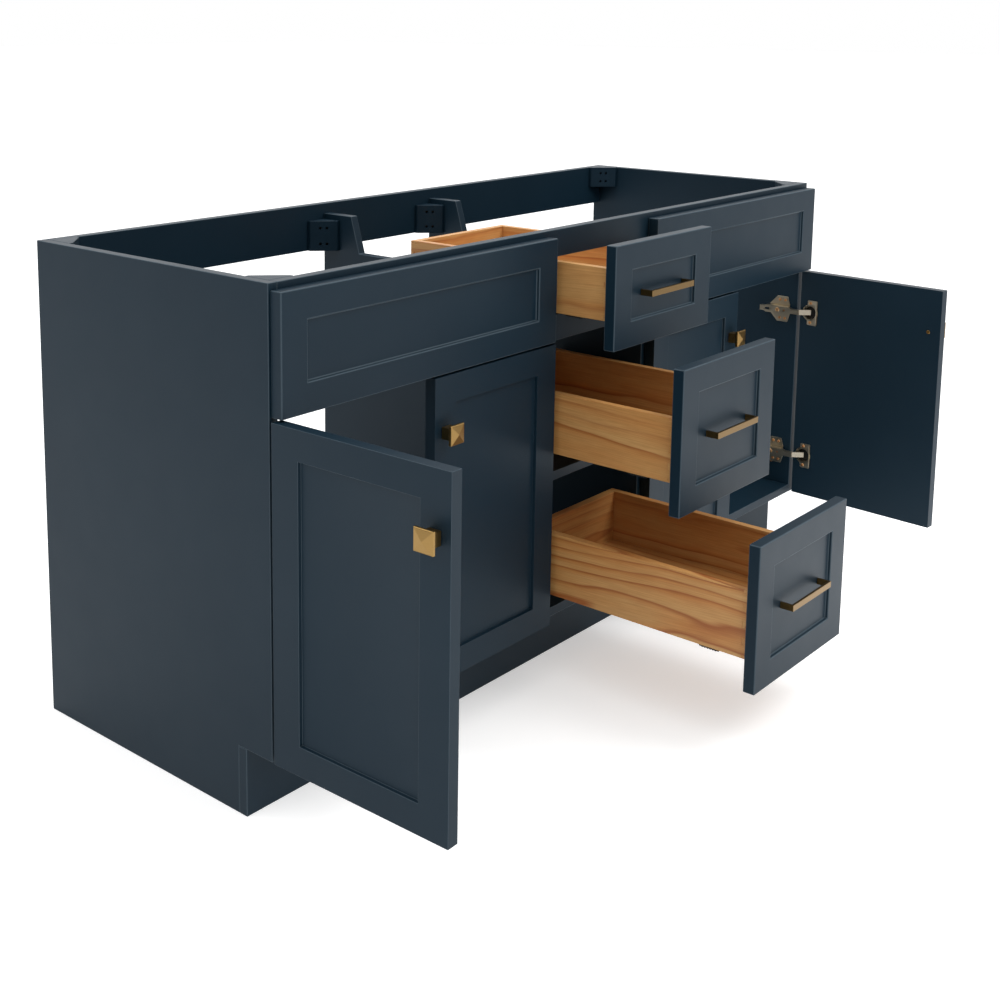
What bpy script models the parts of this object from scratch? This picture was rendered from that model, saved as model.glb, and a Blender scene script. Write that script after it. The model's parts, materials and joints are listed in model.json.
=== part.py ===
"""Bathroom vanity cabinet: an open-topped, open-backed painted carcass with four doors and three drawers.

X runs along the width, Y towards the wall and Z up. The origin is on the floor, in the wall plane, at
mid-width. Lengths are metres. The outer doors stand open and the drawers are pulled out, as named below.
"""

import math

import bmesh
import bpy
from mathutils import Matrix, Vector

# Driving dimensions
WIDTH = 1.524
DEPTH = 0.5334
HEIGHT = 0.762
PANEL = 0.016
FRONT_THICKNESS = 0.019
FRONT_GAP = 0.0015
FIT = 0.0003

# Carcass
CARCASS_DEPTH = DEPTH - FRONT_THICKNESS - FRONT_GAP
FRONT_PLANE = -CARCASS_DEPTH
HALF = WIDTH / 2
INNER_HALF = HALF - PANEL
TOE_HEIGHT = 0.101
TOE_SETBACK = 0.052
TOE_THICKNESS = 0.0155
BOTTOM_TOP = TOE_HEIGHT + PANEL
PARTITION_INNER = 0.140
PARTITION_OUTER = PARTITION_INNER + PANEL
TOP_RAIL_HEIGHT = 0.045
MID_RAIL = (0.578, 0.6215)
DRAWER_RAIL = (0.340, 0.3556)
DRAWER_RAIL_DEPTH = 0.060
BACK_RAIL_HEIGHT = 0.083

# The partition's top edge drops between its back and its front, where a basin and its trap hang.
PARTITION_BACK_HEIGHT = 0.744
PARTITION_BACK_LENGTH = 0.068
PARTITION_LOW_HEIGHT = 0.678
PARTITION_SLOPE = 0.020
PARTITION_FRONT_LENGTH = 0.060

# Fronts: a raised frame around a recessed flat panel
STILE = 0.048
RAIL = 0.0425
RECESS = 0.0052
RECESS_SLOPE = 0.0008
DOOR_WIDTH = 0.300
DOOR_Z = (0.1029, 0.5794)
DOOR_INNER_EDGE = 0.1503
DOOR_OUTER_EDGE = 0.7584
FASCIA_Z = (0.5829, 0.7524)
DRAWER_FRONT_HALF = 0.1455

# Drawers: name, front's bottom and top, box's bottom and top, how far it stands out
DRAWERS = (
    ("top", (0.5830, 0.7505), (0.6262, 0.7110), 0.1060),
    ("middle", (0.3425, 0.5755), (0.3900, 0.4930), 0.2316),
    ("bottom", (0.1015, 0.3335), (0.1455, 0.2535), 0.3686),
)
BOX_HALF = 0.130
BOX_LENGTH = 0.415
BOX_WALL = 0.0127
BOX_FLOOR_LIFT = 0.013
BOX_FLOOR = 0.006

# Runners under each drawer side; the slider runs in the hollow below the drawer's floor
RUNNER_LENGTH = 0.390
RUNNER_SETBACK = 0.018
SLIDER_LENGTH = 0.370
SHEET = 0.0015
RUNNER_INNER = 0.088
RUNNER_DROP = 0.006
RUNNER_WEB_RISE = 0.018
RUNNER_LIP = 0.007
SLIDER_INNER = 0.0905
SLIDER_OUTER = 0.115
SLIDER_RISE = 0.0055
SLIDER_DROP = 0.0035

# Handles
KNOB_FROM_EDGE = 0.024
KNOB_Z = 0.4955
PULL_HALF = 0.0645
PULL_BAR = 0.004
PULL_HEIGHT = 0.010
PULL_REACH = 0.0217

# Concealed cup hinges, measured from the door's hinge edge (inboard) and from the carcass front
HINGE_FROM_DOOR_END = 0.085
CUP_FROM_EDGE = 0.0225
CUP_RADIUS = 0.0172
CUP_DEPTH = 0.0115
CUP_WALL = 0.001
BORE_RADIUS = 0.0175
BORE_DEPTH = 0.012
FLANGE = (0.020, 0.052, 0.0012)
NOSE = (0.0200, 0.0300)
NOSE_REACH = 0.0108
NOSE_HALF_HEIGHT = 0.005
ARM_HALF_HEIGHT = 0.0075
ARM_LENGTH = 0.076
PLATE_Y = (0.018, 0.060)
WING_Y = (0.030, 0.046)
WING_HALF_HEIGHT = 0.027
WING_THICKNESS = 0.0022

# Door pivots: inboard of the hinge edge, and in front of the carcass; then how far each door stands open
OUTER_PIVOT = (0.0032, 0.0104)
INNER_PIVOT = (0.0052, 0.0125)
DOORS = (
    ("left_outer", -1, DOOR_OUTER_EDGE, -1, OUTER_PIVOT, math.radians(89.1)),
    ("left_inner", -1, DOOR_INNER_EDGE, 1, INNER_PIVOT, 0.0),
    ("right_inner", 1, DOOR_INNER_EDGE, 1, INNER_PIVOT, 0.0),
    ("right_outer", 1, DOOR_OUTER_EDGE, -1, OUTER_PIVOT, math.radians(86.0)),
)


def clear_scene():
    for obj in list(bpy.data.objects):
        bpy.data.objects.remove(obj, do_unlink=True)


def new_collection(name, hidden=False):
    collection = bpy.data.collections.new(name)
    collection.hide_render = hidden
    bpy.context.scene.collection.children.link(collection)
    return collection


def material(name, colour, roughness, metallic=0.0):
    made = bpy.data.materials.new(name)
    made.use_nodes = True
    shader = made.node_tree.nodes["Principled BSDF"]
    shader.inputs["Base Color"].default_value = (*colour, 1.0)
    shader.inputs["Roughness"].default_value = roughness
    shader.inputs["Metallic"].default_value = metallic
    return made


clear_scene()
CABINET = new_collection("bathroom_vanity_cabinet")
CUTTERS = new_collection("cutters", hidden=True)
PAINT = material("navy_paint", (0.030, 0.045, 0.062), 0.38)
PINE = material("pine", (0.56, 0.36, 0.19), 0.50)
BRASS = material("brushed_brass", (0.52, 0.36, 0.15), 0.34, 1.0)
NICKEL = material("nickel_plate", (0.55, 0.51, 0.44), 0.28, 1.0)
ZINC = material("zinc_plate", (0.42, 0.43, 0.44), 0.42, 1.0)


def keep(name, data, finish, parent=None, helper=False):
    """An object for the data, in the cabinet or, for a helper, among the hidden cutters."""
    data.name = name
    obj = bpy.data.objects.new(name, data)
    (CUTTERS if helper else CABINET).objects.link(obj)
    obj.parent = parent
    obj.hide_render = helper
    obj.display_type = "WIRE" if helper else "TEXTURED"
    if finish:
        data.materials.append(finish)
    return obj


def place(obj, point):
    """Puts an object at a point of the closed cabinet; its parent may then turn or slide it."""
    home = Vector(obj.parent["home"]) if obj.parent else Vector()
    obj.location = Vector(point) - home


def mesh_of(name, bm):
    mesh = bpy.data.meshes.new(name)
    bm.to_mesh(mesh)
    bm.free()
    return mesh


def box(name, low, high, finish=None, parent=None, helper=False):
    low, high = Vector(low), Vector(high)
    bm = bmesh.new()
    bmesh.ops.create_cube(bm, size=1.0)
    bmesh.ops.scale(bm, vec=high - low, verts=bm.verts)
    obj = keep(name, mesh_of(name, bm), finish, parent, helper)
    place(obj, (low + high) / 2)
    return obj


def rod(name, centre, radius, length, finish=None, parent=None, helper=False):
    """A cylinder along Y."""
    bm = bmesh.new()
    turn = Matrix.Rotation(math.radians(90), 4, "X")
    bmesh.ops.create_cone(
        bm, cap_ends=True, segments=40, radius1=radius, radius2=radius, depth=length, matrix=turn
    )
    obj = keep(name, mesh_of(name, bm), finish, parent, helper)
    place(obj, centre)
    return obj


def join(target, other, operation="UNION"):
    modifier = target.modifiers.new(other.name, "BOOLEAN")
    modifier.operation = operation
    modifier.object = other


def outline(name, points, thickness, finish, centre, turn, parent=None):
    """A flat outline of a given thickness; turn says which way its plane faces."""
    curve = bpy.data.curves.new(name, "CURVE")
    curve.dimensions = "2D"
    curve.fill_mode = "BOTH"
    curve.extrude = thickness / 2
    spline = curve.splines.new("POLY")
    spline.points.add(len(points) - 1)
    for point, (u, v) in zip(spline.points, points):
        point.co = (u, v, 0, 1)
    spline.use_cyclic_u = True
    obj = keep(name, curve, finish, parent)
    place(obj, centre)
    obj.rotation_euler = turn
    return obj


FACING_X = (math.radians(90), 0, math.radians(90))
FACING_Y = (math.radians(90), 0, 0)
FACING_Z = (0, 0, 0)


def moving_empty(name, home, shift=(0, 0, 0), turn=0.0):
    """A parent on the joint's axis. Its children are placed in the closed cabinet, then follow it."""
    empty = bpy.data.objects.new(name, None)
    CABINET.objects.link(empty)
    empty["home"] = home
    empty.location = Vector(home) + Vector(shift)
    empty.rotation_euler.z = turn
    return empty


def side_panel(name, side):
    toe_back = FRONT_PLANE + TOE_SETBACK + TOE_THICKNESS + FIT
    points = [
        (toe_back, 0),
        (0, 0),
        (0, HEIGHT),
        (FRONT_PLANE, HEIGHT),
        (FRONT_PLANE, TOE_HEIGHT),
        (toe_back, TOE_HEIGHT),
    ]
    outline(name, points, PANEL, PAINT, (side * (HALF - PANEL / 2), 0, 0), FACING_X)


def partition(name, side):
    back = -PANEL - FIT
    rail_back = FRONT_PLANE + PANEL + FIT
    top_rail_bottom = HEIGHT - TOP_RAIL_HEIGHT - FIT
    high_end = back - PARTITION_BACK_LENGTH
    front_end = FRONT_PLANE + PARTITION_FRONT_LENGTH
    points = [
        (FRONT_PLANE, BOTTOM_TOP + FIT),
        (back, BOTTOM_TOP + FIT),
        (back, PARTITION_BACK_HEIGHT),
        (high_end, PARTITION_BACK_HEIGHT),
        (high_end - PARTITION_SLOPE, PARTITION_LOW_HEIGHT),
        (front_end + PARTITION_SLOPE, PARTITION_LOW_HEIGHT),
        (front_end, top_rail_bottom),
        (FRONT_PLANE, top_rail_bottom),
        (FRONT_PLANE, MID_RAIL[1] + FIT),
        (rail_back, MID_RAIL[1] + FIT),
        (rail_back, MID_RAIL[0] - FIT),
        (FRONT_PLANE, MID_RAIL[0] - FIT),
    ]
    centre = (side * (PARTITION_INNER + PANEL / 2), 0, 0)
    outline(name, points, PANEL, PAINT, centre, FACING_X)


def carcass():
    for name, side in (("left", -1), ("right", 1)):
        side_panel(f"{name}_side_panel", side)
        partition(f"{name}_partition", side)
    reach = INNER_HALF - FIT
    between = PARTITION_INNER - FIT
    front_back = FRONT_PLANE + PANEL
    toe_front = FRONT_PLANE + TOE_SETBACK
    boards = (
        ("bottom_panel", HALF - PANEL - FIT, FRONT_PLANE, 0, TOE_HEIGHT + FIT, BOTTOM_TOP),
        ("toe_kick_board", HALF, toe_front, toe_front + TOE_THICKNESS, 0, TOE_HEIGHT - FIT),
        ("back_base_rail", reach, -PANEL, 0, 0, TOE_HEIGHT),
        ("back_top_rail", reach, -PANEL, 0, HEIGHT - BACK_RAIL_HEIGHT, HEIGHT),
        ("front_top_rail", reach, FRONT_PLANE, front_back, HEIGHT - TOP_RAIL_HEIGHT, HEIGHT),
        ("front_mid_rail", reach, FRONT_PLANE, front_back, *MID_RAIL),
        ("drawer_rail", between, FRONT_PLANE, FRONT_PLANE + DRAWER_RAIL_DEPTH, *DRAWER_RAIL),
    )
    for name, half, front, back, low, high in boards:
        box(name, (-half, front, low), (half, back, high), PAINT)


def framed_front(name, x_range, z_range, back, thickness, parent=None):
    """A flat board whose outer face has a recessed panel inside a frame of stiles and rails."""
    width, height = x_range[1] - x_range[0], z_range[1] - z_range[0]
    bm = bmesh.new()
    bmesh.ops.create_cube(bm, size=1.0)
    bmesh.ops.scale(bm, vec=(width, thickness, height), verts=bm.verts)
    face = min(bm.faces, key=lambda f: f.calc_center_median().y)
    bmesh.ops.inset_region(bm, faces=[face], thickness=STILE, use_even_offset=True)
    for vert in face.verts:
        vert.co.z += math.copysign(STILE - RAIL, vert.co.z)
    bmesh.ops.inset_region(
        bm, faces=[face], thickness=RECESS_SLOPE, depth=-RECESS, use_even_offset=True
    )
    obj = keep(name, mesh_of(name, bm), PAINT, parent)
    place(obj, (sum(x_range) / 2, back - thickness / 2, sum(z_range) / 2))
    return obj


def knob(name, x, parent):
    """A square head with a low pyramid face on a tapered square stem, as a four-sided turning."""
    # Distance off the door, and half the square's side there, from the tip down to the door
    profile = (
        (0.0260, 0.0),
        (0.0235, 0.0142),
        (0.0225, 0.0152),
        (0.0190, 0.0152),
        (0.0175, 0.0138),
        (0.0140, 0.0092),
        (FIT, 0.0092),
        (FIT, 0.0),
    )
    bm = bmesh.new()
    corners = [bm.verts.new((half * math.sqrt(2), 0, off)) for off, half in profile]
    for pair in zip(corners, corners[1:]):
        bm.edges.new(pair)
    obj = keep(name, mesh_of(name, bm), BRASS, parent)
    screw = obj.modifiers.new("four_sides", "SCREW")
    screw.steps = screw.render_steps = 4
    screw.use_merge_vertices = True
    screw.merge_threshold = 0.00001
    screw.use_smooth_shade = False
    place(obj, (x, FRONT_PLANE - FRONT_GAP - FRONT_THICKNESS, KNOB_Z))
    obj.rotation_euler = (Matrix.Rotation(math.radians(90), 3, "X") @ Matrix.Rotation(math.radians(45), 3, "Z")).to_euler()


def hinge(name, edge, inboard, panel_face, z, door, parent):
    """One cup hinge: its arm and mounting plate stay on the carcass, its cup turns with the door."""

    def across(a, b):
        return tuple(sorted((edge + inboard * a, edge + inboard * b)))

    def block(part, a, b, y, half_height, **options):
        x, (front, back) = across(a, b), y
        low = (x[0], FRONT_PLANE + front, z - half_height)
        return box(f"{name}_{part}", low, (x[1], FRONT_PLANE + back, z + half_height), **options)

    arm = block("arm", *NOSE, (0, ARM_LENGTH), ARM_HALF_HEIGHT, finish=NICKEL)
    nose = (-NOSE_REACH, 0.010)
    join(arm, block("nose", NOSE[0], NOSE[1] - 0.001, nose, NOSE_HALF_HEIGHT, helper=True))
    foot = panel_face + FIT
    plate = block("plate", foot, NOSE[0] + 0.001, PLATE_Y, ARM_HALF_HEIGHT - 0.001, helper=True)
    join(arm, plate)
    wings = block("wings", foot, foot + WING_THICKNESS, WING_Y, WING_HALF_HEIGHT, helper=True)
    join(arm, wings)

    x = edge + inboard * CUP_FROM_EDGE
    door_back = FRONT_PLANE - FRONT_GAP
    bore = rod(f"{name}_bore", (x, door_back, z), BORE_RADIUS, 2 * BORE_DEPTH, parent=parent, helper=True)
    join(door, bore, "DIFFERENCE")
    wide, tall, thick = FLANGE
    low = (x - wide / 2, door_back + FIT, z - tall / 2)
    cup = box(f"{name}_cup", low, (x + wide / 2, door_back + FIT + thick, z + tall / 2), NICKEL, parent)
    body = rod(
        f"{name}_cup_body",
        (x, door_back + FIT + thick / 2 - (CUP_DEPTH + thick) / 2, z),
        CUP_RADIUS,
        CUP_DEPTH + thick / 2,
        parent=parent,
        helper=True,
    )
    join(cup, body)
    hollow = rod(
        f"{name}_cup_hollow",
        (x, door_back + FIT, z),
        CUP_RADIUS - CUP_WALL,
        2 * (CUP_DEPTH - CUP_WALL),
        parent=parent,
        helper=True,
    )
    join(cup, hollow, "DIFFERENCE")


def doors():
    back = FRONT_PLANE - FRONT_GAP
    for name, side, hinge_edge, outward, pivot, opening in DOORS:
        # outward is +1 where the free edge is further from mid-width than the hinge edge.
        edge = side * hinge_edge
        inboard = side * outward
        free_edge = edge + inboard * DOOR_WIDTH
        home = (edge + inboard * pivot[0], FRONT_PLANE - pivot[1], 0)
        parent = moving_empty(f"{name}_door_pivot", home, turn=-inboard * opening)
        x_range = sorted((edge, free_edge))
        door = framed_front(f"{name}_door", x_range, DOOR_Z, back, FRONT_THICKNESS, parent)
        knob(f"{name}_knob", free_edge - inboard * KNOB_FROM_EDGE, parent)
        panel = INNER_HALF if outward < 0 else PARTITION_OUTER
        panel_face = abs(panel - hinge_edge)
        heights = (DOOR_Z[1] - HINGE_FROM_DOOR_END, DOOR_Z[0] + HINGE_FROM_DOOR_END)
        for place_name, z in zip(("upper", "lower"), heights):
            hinge(f"{name}_{place_name}_hinge", edge, inboard, panel_face, z, door, parent)


def fascias():
    for name, side in (("left", -1), ("right", 1)):
        x_range = sorted((side * DOOR_INNER_EDGE, side * DOOR_OUTER_EDGE))
        thickness = FRONT_THICKNESS + FRONT_GAP - FIT
        framed_front(f"{name}_fascia", x_range, FASCIA_Z, FRONT_PLANE - FIT, thickness)


def drawer_box(name, low_z, high_z, parent):
    front = FRONT_PLANE - FRONT_GAP + FIT
    back = front + BOX_LENGTH
    shell = box(name, (-BOX_HALF, front, low_z), (BOX_HALF, back, high_z), PINE, parent)
    inner = BOX_HALF - BOX_WALL
    floor_low = low_z + BOX_FLOOR_LIFT
    # The hollow under the floor is open at the back, where the sliders pass out of it.
    spaces = (
        ("inside", floor_low + BOX_FLOOR, high_z + 0.01, back - BOX_WALL),
        ("underside", low_z - 0.01, floor_low, back + 0.01),
    )
    for space, low, high, end in spaces:
        start = front + BOX_WALL
        hollow = box(
            f"{name}_{space}", (-inner, start, low), (inner, end, high), parent=parent, helper=True
        )
        join(shell, hollow, "DIFFERENCE")


def pull(name, z, parent):
    """A flat bar bent square: two legs and a grip, seen from above as a U."""
    panel = FRONT_PLANE - FRONT_GAP - FRONT_THICKNESS + RECESS - FIT
    grip = panel - PULL_REACH
    inner = PULL_HALF - PULL_BAR
    points = [
        (-PULL_HALF, panel),
        (-PULL_HALF, grip),
        (PULL_HALF, grip),
        (PULL_HALF, panel),
        (inner, panel),
        (inner, grip + PULL_BAR),
        (-inner, grip + PULL_BAR),
        (-inner, panel),
    ]
    outline(name, points, PULL_HEIGHT, BRASS, (0, 0, z), FACING_Z, parent)


def sheet_profile(points, side):
    return [(side * x, z) for x, z in points]


def runners(name, box_bottom, parent):
    """The fixed runner on each partition, and the slider that runs in it at half the drawer's speed."""
    web = PARTITION_INNER - FIT
    low = box_bottom - RUNNER_DROP
    fixed = [
        (RUNNER_INNER, low),
        (web, low),
        (web, box_bottom + RUNNER_WEB_RISE),
        (web - SHEET, box_bottom + RUNNER_WEB_RISE),
        (web - SHEET, low + SHEET),
        (RUNNER_INNER + SHEET, low + SHEET),
        (RUNNER_INNER + SHEET, low + RUNNER_LIP),
        (RUNNER_INNER, low + RUNNER_LIP),
    ]
    top, foot = box_bottom + SLIDER_RISE, box_bottom - SLIDER_DROP
    moving = [
        (SLIDER_INNER, foot),
        (SLIDER_INNER + SHEET, foot),
        (SLIDER_INNER + SHEET, top - SHEET),
        (SLIDER_OUTER - SHEET, top - SHEET),
        (SLIDER_OUTER - SHEET, foot),
        (SLIDER_OUTER, foot),
        (SLIDER_OUTER, top),
        (SLIDER_INNER, top),
    ]
    start = FRONT_PLANE + RUNNER_SETBACK
    for hand, side in (("left", -1), ("right", 1)):
        centre = (0, start + RUNNER_LENGTH / 2, 0)
        points = sheet_profile(fixed, side)
        outline(f"{name}_{hand}_runner", points, RUNNER_LENGTH, ZINC, centre, FACING_Y)
        centre = (0, start + SLIDER_LENGTH / 2, 0)
        points = sheet_profile(moving, side)
        outline(f"{name}_{hand}_slider", points, SLIDER_LENGTH, ZINC, centre, FACING_Y, parent)


def drawers():
    for name, front_z, box_z, reach in DRAWERS:
        parent = moving_empty(f"{name}_drawer_slide", (0, FRONT_PLANE, 0), shift=(0, -reach, 0))
        x_range = (-DRAWER_FRONT_HALF, DRAWER_FRONT_HALF)
        back = FRONT_PLANE - FRONT_GAP
        framed_front(f"{name}_drawer_front", x_range, front_z, back, FRONT_THICKNESS, parent)
        drawer_box(f"{name}_drawer_box", *box_z, parent)
        pull(f"{name}_drawer_pull", sum(front_z) / 2, parent)
        half_way = moving_empty(f"{name}_sliders", (0, FRONT_PLANE, 0), shift=(0, -reach / 2, 0))
        runners(name, box_z[0], half_way)


carcass()
fascias()
doors()
drawers()
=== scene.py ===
# %% [markdown]
# # A painted bathroom vanity cabinet
#
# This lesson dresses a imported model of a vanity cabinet: its painted boards, dovetailed pine drawers,
# square brass knobs and pulls, cup hinges and drawer runners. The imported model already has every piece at
# its true size and place, and it knows which pieces move together. So the work here is the fine surface:
# softened edges, joints that show, screws, and finishes made from nodes. Lengths are metres, with Z up, X
# along the width and Y to the wall.

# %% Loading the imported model
import json
import math
import random

import bmesh
import bpy
from mathutils import Matrix, Vector

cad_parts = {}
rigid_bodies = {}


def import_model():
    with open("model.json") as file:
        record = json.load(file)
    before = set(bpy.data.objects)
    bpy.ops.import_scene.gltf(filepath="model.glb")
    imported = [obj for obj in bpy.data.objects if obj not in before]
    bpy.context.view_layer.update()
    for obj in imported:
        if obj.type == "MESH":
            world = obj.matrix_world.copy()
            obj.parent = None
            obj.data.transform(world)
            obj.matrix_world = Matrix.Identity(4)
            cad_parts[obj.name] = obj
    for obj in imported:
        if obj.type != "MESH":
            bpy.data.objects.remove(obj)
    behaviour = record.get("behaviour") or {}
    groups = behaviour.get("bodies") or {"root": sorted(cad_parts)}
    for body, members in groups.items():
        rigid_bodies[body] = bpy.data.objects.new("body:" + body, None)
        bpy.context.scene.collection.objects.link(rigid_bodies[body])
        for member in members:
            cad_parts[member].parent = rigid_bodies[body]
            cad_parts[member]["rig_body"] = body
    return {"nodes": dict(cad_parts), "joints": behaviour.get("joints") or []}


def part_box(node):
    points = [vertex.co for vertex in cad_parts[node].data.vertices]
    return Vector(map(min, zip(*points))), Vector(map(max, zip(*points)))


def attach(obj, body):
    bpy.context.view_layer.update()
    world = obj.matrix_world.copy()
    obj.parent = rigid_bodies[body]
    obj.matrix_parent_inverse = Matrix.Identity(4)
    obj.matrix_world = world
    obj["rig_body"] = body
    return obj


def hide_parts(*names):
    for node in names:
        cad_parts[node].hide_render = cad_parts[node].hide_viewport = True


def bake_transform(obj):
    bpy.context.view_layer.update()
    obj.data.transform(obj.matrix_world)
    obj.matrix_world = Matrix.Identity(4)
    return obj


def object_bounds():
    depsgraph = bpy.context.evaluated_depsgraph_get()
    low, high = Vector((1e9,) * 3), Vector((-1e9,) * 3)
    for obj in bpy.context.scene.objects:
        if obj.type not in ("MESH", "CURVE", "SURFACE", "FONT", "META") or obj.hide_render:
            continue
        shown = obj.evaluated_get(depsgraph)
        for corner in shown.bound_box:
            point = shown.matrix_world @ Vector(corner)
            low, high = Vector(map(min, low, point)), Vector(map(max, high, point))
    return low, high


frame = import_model()
CAD_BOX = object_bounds()
NODES = frame["nodes"]
JOINTS = {joint["name"]: joint for joint in frame["joints"]}
BODY_OF = {name: node["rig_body"] for name, node in NODES.items()}

# %% [markdown]
# ## The camera
#
# The cabinet is seen from the front left, a little above its top. The upright edges look almost upright,
# which a camera does when it stays nearly level and its lens is shifted. A shift moves the picture without
# turning the camera. The heading turns it round the vertical, the tilt leans it down, and the roll is tiny.

# %% Camera
SENSOR = 36.0
FOCAL_IN_FRAMES = 1.41488
CAMERA_PLACE = (-1.9821, -1.8195, 1.1016)
HEADING, TILT, ROLL = -0.8317, -0.1575, 0.0028
SHIFT = (0.12, -0.26)


def make_camera():
    data = bpy.data.cameras.new("camera")
    data.sensor_width = SENSOR
    data.lens = FOCAL_IN_FRAMES * SENSOR
    data.shift_x, data.shift_y = SHIFT
    camera = bpy.data.objects.new("camera", data)
    bpy.context.scene.collection.objects.link(camera)
    heading = Matrix.Rotation(HEADING, 4, "Z")
    tilt = Matrix.Rotation(math.radians(90) + TILT, 4, "X")
    roll = Matrix.Rotation(ROLL, 4, "Z")
    camera.matrix_world = Matrix.Translation(CAMERA_PLACE) @ heading @ tilt @ roll
    bpy.context.scene.camera = camera
    return camera


camera = make_camera()
print(f"lens {camera.data.lens:.1f} mm at {tuple(round(c, 2) for c in camera.location)}")

# %% [markdown]
# ## The studio
#
# A dark satin paint shows mostly what it reflects, so the room matters as much as the paint. Most of the
# light comes from above, as from a wide lit ceiling, and little from the sides, so top edges are bright and
# inner faces stay dark. A bright backdrop behind the cabinet gives a pale sheen to faces that are seen at a
# grazing angle, and a lamp in front and above opens up the drawer fronts. The floor is a pale light table.
# It glows a little, which keeps the shadows under the drawers soft, and more in one pool that the low
# drawer fronts mirror.

# %% Floor and surround
FLOOR_HALF = 40.0
FLOOR_COLOUR, FLOOR_ROUGHNESS = (0.80, 0.80, 0.80), 0.8
FLOOR_GLOW = 0.27
GLOW_SEEN = 0.18
POOL_PLACE, POOL_RADIUS, POOL_GLOW = (0.75, -1.20), 0.80, 1.0
WHITE = (1.0, 1.0, 1.0)
# The light grows from side to ceiling strength as its direction rises between the two heights. It grows
# from none to backdrop strength as the direction turns towards BACKDROP_WAY, where square to it is 0 and
# along it is 1.
SIDE_LIGHT, CEILING_LIGHT, CEILING_HEIGHTS = 0.28, 1.45, (0.05, 0.95)
BACKDROP_LIGHT, BACKDROP_TURN = 1.50, (0.45, 0.95)
BACKDROP_WAY = (0.70, 0.71, 0.0)
OVERHEAD = {"place": (-0.5, 0.6, 3.2), "size": 2.2, "power": 24.0}
FRONT_TOP = {"place": (0.9, -2.4, 2.6), "size": 1.2, "power": 28.0}


def shader_of(material):
    return next(n for n in material.node_tree.nodes if n.type == "BSDF_PRINCIPLED")


def plain_material(name, colour, roughness):
    material = bpy.data.materials.new(name)
    material.use_nodes = True
    shader_of(material).inputs["Base Color"].default_value = (*colour, 1.0)
    shader_of(material).inputs["Roughness"].default_value = roughness
    return material


def graded(tree, value, start, end, low, high):
    """A number that goes smoothly from low to high as the value goes from start to end."""
    node = tree.nodes.new("ShaderNodeMapRange")
    node.interpolation_type = "SMOOTHSTEP"
    for name, number in (("From Min", start), ("From Max", end), ("To Min", low), ("To Max", high)):
        node.inputs[name].default_value = number
    tree.links.new(value, node.inputs["Value"])
    return node.outputs["Result"]


def pool_of_light(finish):
    """The floor glows more at the right front, which the low drawer fronts mirror, and where it is looked at."""
    tree = finish.node_tree
    coordinates = tree.nodes.new("ShaderNodeTexCoord")
    away = tree.nodes.new("ShaderNodeVectorMath")
    away.operation = "DISTANCE"
    away.inputs[1].default_value = (*POOL_PLACE, 0.0)
    tree.links.new(coordinates.outputs["Object"], away.inputs[0])
    pool = graded(tree, away.outputs["Value"], 0.0, POOL_RADIUS, FLOOR_GLOW + POOL_GLOW, FLOOR_GLOW)
    path = tree.nodes.new("ShaderNodeLightPath")
    total = tree.nodes.new("ShaderNodeMath")
    total.operation = "MULTIPLY_ADD"
    total.inputs[1].default_value = GLOW_SEEN
    tree.links.new(path.outputs["Is Camera Ray"], total.inputs[0])
    tree.links.new(pool, total.inputs[2])
    return total.outputs["Value"]


def make_floor():
    bm = bmesh.new()
    bmesh.ops.create_grid(bm, x_segments=1, y_segments=1, size=FLOOR_HALF)
    mesh = bpy.data.meshes.new("floor")
    bm.to_mesh(mesh)
    bm.free()
    finish = plain_material("pale_floor", FLOOR_COLOUR, FLOOR_ROUGHNESS)
    shader_of(finish).inputs["Emission Color"].default_value = (*WHITE, 1.0)
    glow = pool_of_light(finish)
    finish.node_tree.links.new(glow, shader_of(finish).inputs["Emission Strength"])
    mesh.materials.append(finish)
    floor = bpy.data.objects.new("floor", mesh)
    bpy.context.scene.collection.objects.link(floor)


def soft_box(name, place, size, power):
    """A square light that faces the middle of the cabinet."""
    data = bpy.data.lights.new(name, "AREA")
    data.size = size
    data.energy = power
    light = bpy.data.objects.new(name, data)
    bpy.context.scene.collection.objects.link(light)
    light.location = place
    aim = (CAD_BOX[0] + CAD_BOX[1]) / 2 - Vector(place)
    light.rotation_euler = aim.to_track_quat("-Z", "Y").to_euler()


def make_surround():
    """White where it is looked at. As a light it is brightest straight above and at the backdrop."""
    world = bpy.data.worlds.new("studio")
    world.use_nodes = True
    tree = world.node_tree
    nodes, links = tree.nodes, tree.links
    background = nodes["Background"]
    direction = nodes.new("ShaderNodeTexCoord")
    parts = nodes.new("ShaderNodeSeparateXYZ")
    links.new(direction.outputs["Generated"], parts.inputs["Vector"])
    ceiling = graded(tree, parts.outputs["Z"], *CEILING_HEIGHTS, SIDE_LIGHT, CEILING_LIGHT)
    facing = nodes.new("ShaderNodeVectorMath")
    facing.operation = "DOT_PRODUCT"
    facing.inputs[1].default_value = BACKDROP_WAY
    links.new(direction.outputs["Generated"], facing.inputs[0])
    backdrop = graded(tree, facing.outputs["Value"], *BACKDROP_TURN, 0.0, BACKDROP_LIGHT)
    brighter = nodes.new("ShaderNodeMath")
    brighter.operation = "MAXIMUM"
    links.new(ceiling, brighter.inputs[0])
    links.new(backdrop, brighter.inputs[1])
    path = nodes.new("ShaderNodeLightPath")
    seen = nodes.new("ShaderNodeMix")
    seen.inputs["B"].default_value = 1.0
    links.new(path.outputs["Is Camera Ray"], seen.inputs["Factor"])
    links.new(brighter.outputs["Value"], seen.inputs["A"])
    links.new(seen.outputs["Result"], background.inputs["Strength"])
    background.inputs["Color"].default_value = (*WHITE, 1.0)
    bpy.context.scene.world = world
    bpy.context.scene.view_settings.view_transform = "Standard"


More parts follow.
